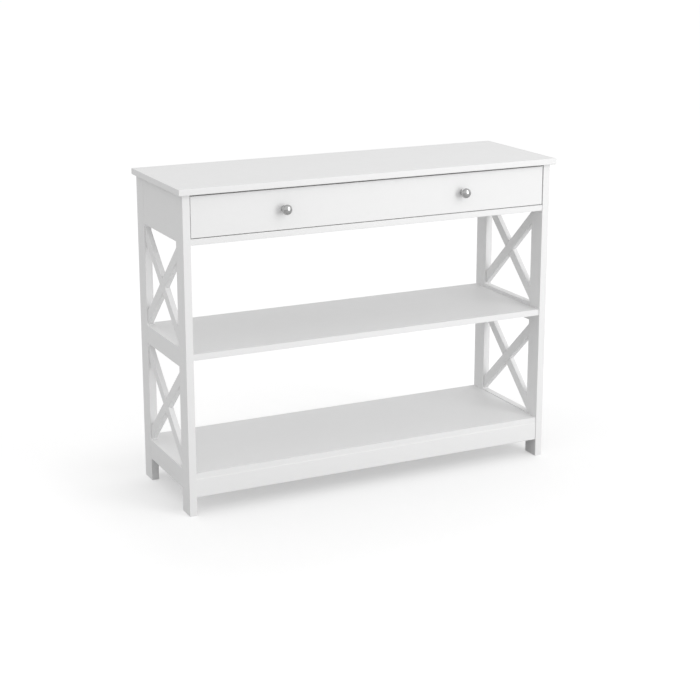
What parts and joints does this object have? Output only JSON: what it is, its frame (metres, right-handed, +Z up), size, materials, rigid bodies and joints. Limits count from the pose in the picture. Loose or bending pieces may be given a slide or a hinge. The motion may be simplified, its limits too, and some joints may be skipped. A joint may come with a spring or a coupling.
{
  "type": "console table",
  "caption": "Narrow console table with X-braced ends, open shelves under a full-width drawer on slides, and round pull knobs.",
  "frame": {"origin": "on the floor, under the centre of the table's bounding box, knobs included", "axes": "+Z up, +X along the table's length to the right of a person facing the drawer, -Y out of the drawer front towards that person"},
  "size_m": [1, 0.3434, 0.785],
  "materials": {
    "white_lacquer": "satin white lacquer on MDF and hardwood",
    "drawer_box_white": "matte white laminate",
    "satin_nickel": "satin nickel plate",
    "zinc_hardware": "bright zinc plate"
  },
  "bodies": {
    "frame": {"apron_front": "white_lacquer", "apron_rear": "white_lacquer", "back_panel": "white_lacquer", "bottom_rail_left": "white_lacquer", "bottom_rail_right": "white_lacquer", "bottom_shelf": "white_lacquer", "brace_lower_left_to_front": "white_lacquer", "brace_lower_left_to_rear": "white_lacquer", "brace_lower_right_to_front": "white_lacquer", "brace_lower_right_to_rear": "white_lacquer", "brace_upper_left_to_front": "white_lacquer", "brace_upper_left_to_rear": "white_lacquer", "brace_upper_right_to_front": "white_lacquer", "brace_upper_right_to_rear": "white_lacquer", "cam_bolt_bottom_front_left": "zinc_hardware", "cam_bolt_bottom_front_right": "zinc_hardware", "cam_bolt_bottom_rear_left": "zinc_hardware", "cam_bolt_bottom_rear_right": "zinc_hardware", "cam_bolt_middle_front_left": "zinc_hardware", "cam_bolt_middle_front_right": "zinc_hardware", "cam_bolt_middle_rear_left": "zinc_hardware", "cam_bolt_middle_rear_right": "zinc_hardware", "cam_nut_bottom_front_left": "zinc_hardware", "cam_nut_bottom_front_right": "zinc_hardware", "cam_nut_bottom_rear_left": "zinc_hardware", "cam_nut_bottom_rear_right": "zinc_hardware", "cam_nut_middle_front_left": "zinc_hardware", "cam_nut_middle_front_right": "zinc_hardware", "cam_nut_middle_rear_left": "zinc_hardware", "cam_nut_middle_rear_right": "zinc_hardware", "front_rail": "white_lacquer", "middle_rail_left": "white_lacquer", "middle_rail_right": "white_lacquer", "middle_shelf": "white_lacquer", "post_front_left": "white_lacquer", "post_front_right": "white_lacquer", "post_rear_left": "white_lacquer", "post_rear_right": "white_lacquer", "side_panel_left": "white_lacquer", "side_panel_right": "white_lacquer", "slide_channel_left": "zinc_hardware", "slide_channel_right": "zinc_hardware", "top_bracket_front_left": "zinc_hardware", "top_bracket_front_right": "zinc_hardware", "top_bracket_rear_left": "zinc_hardware", "top_bracket_rear_right": "zinc_hardware", "top_panel": "white_lacquer"},
    "drawer": {"drawer_back": "drawer_box_white", "drawer_bottom": "drawer_box_white", "drawer_front": "white_lacquer", "drawer_side_left": "drawer_box_white", "drawer_side_right": "drawer_box_white", "knob_left": "satin_nickel", "knob_right": "satin_nickel", "knob_screw_left": "zinc_hardware", "knob_screw_right": "zinc_hardware", "slide_runner_left": "zinc_hardware", "slide_runner_right": "zinc_hardware"}
  },
  "joints": [
    {"name": "drawer_slide", "type": "slide", "parent": "frame", "child": "drawer", "axis": [0, -1, 0], "range_m": [0, 0.19]}
  ]
}
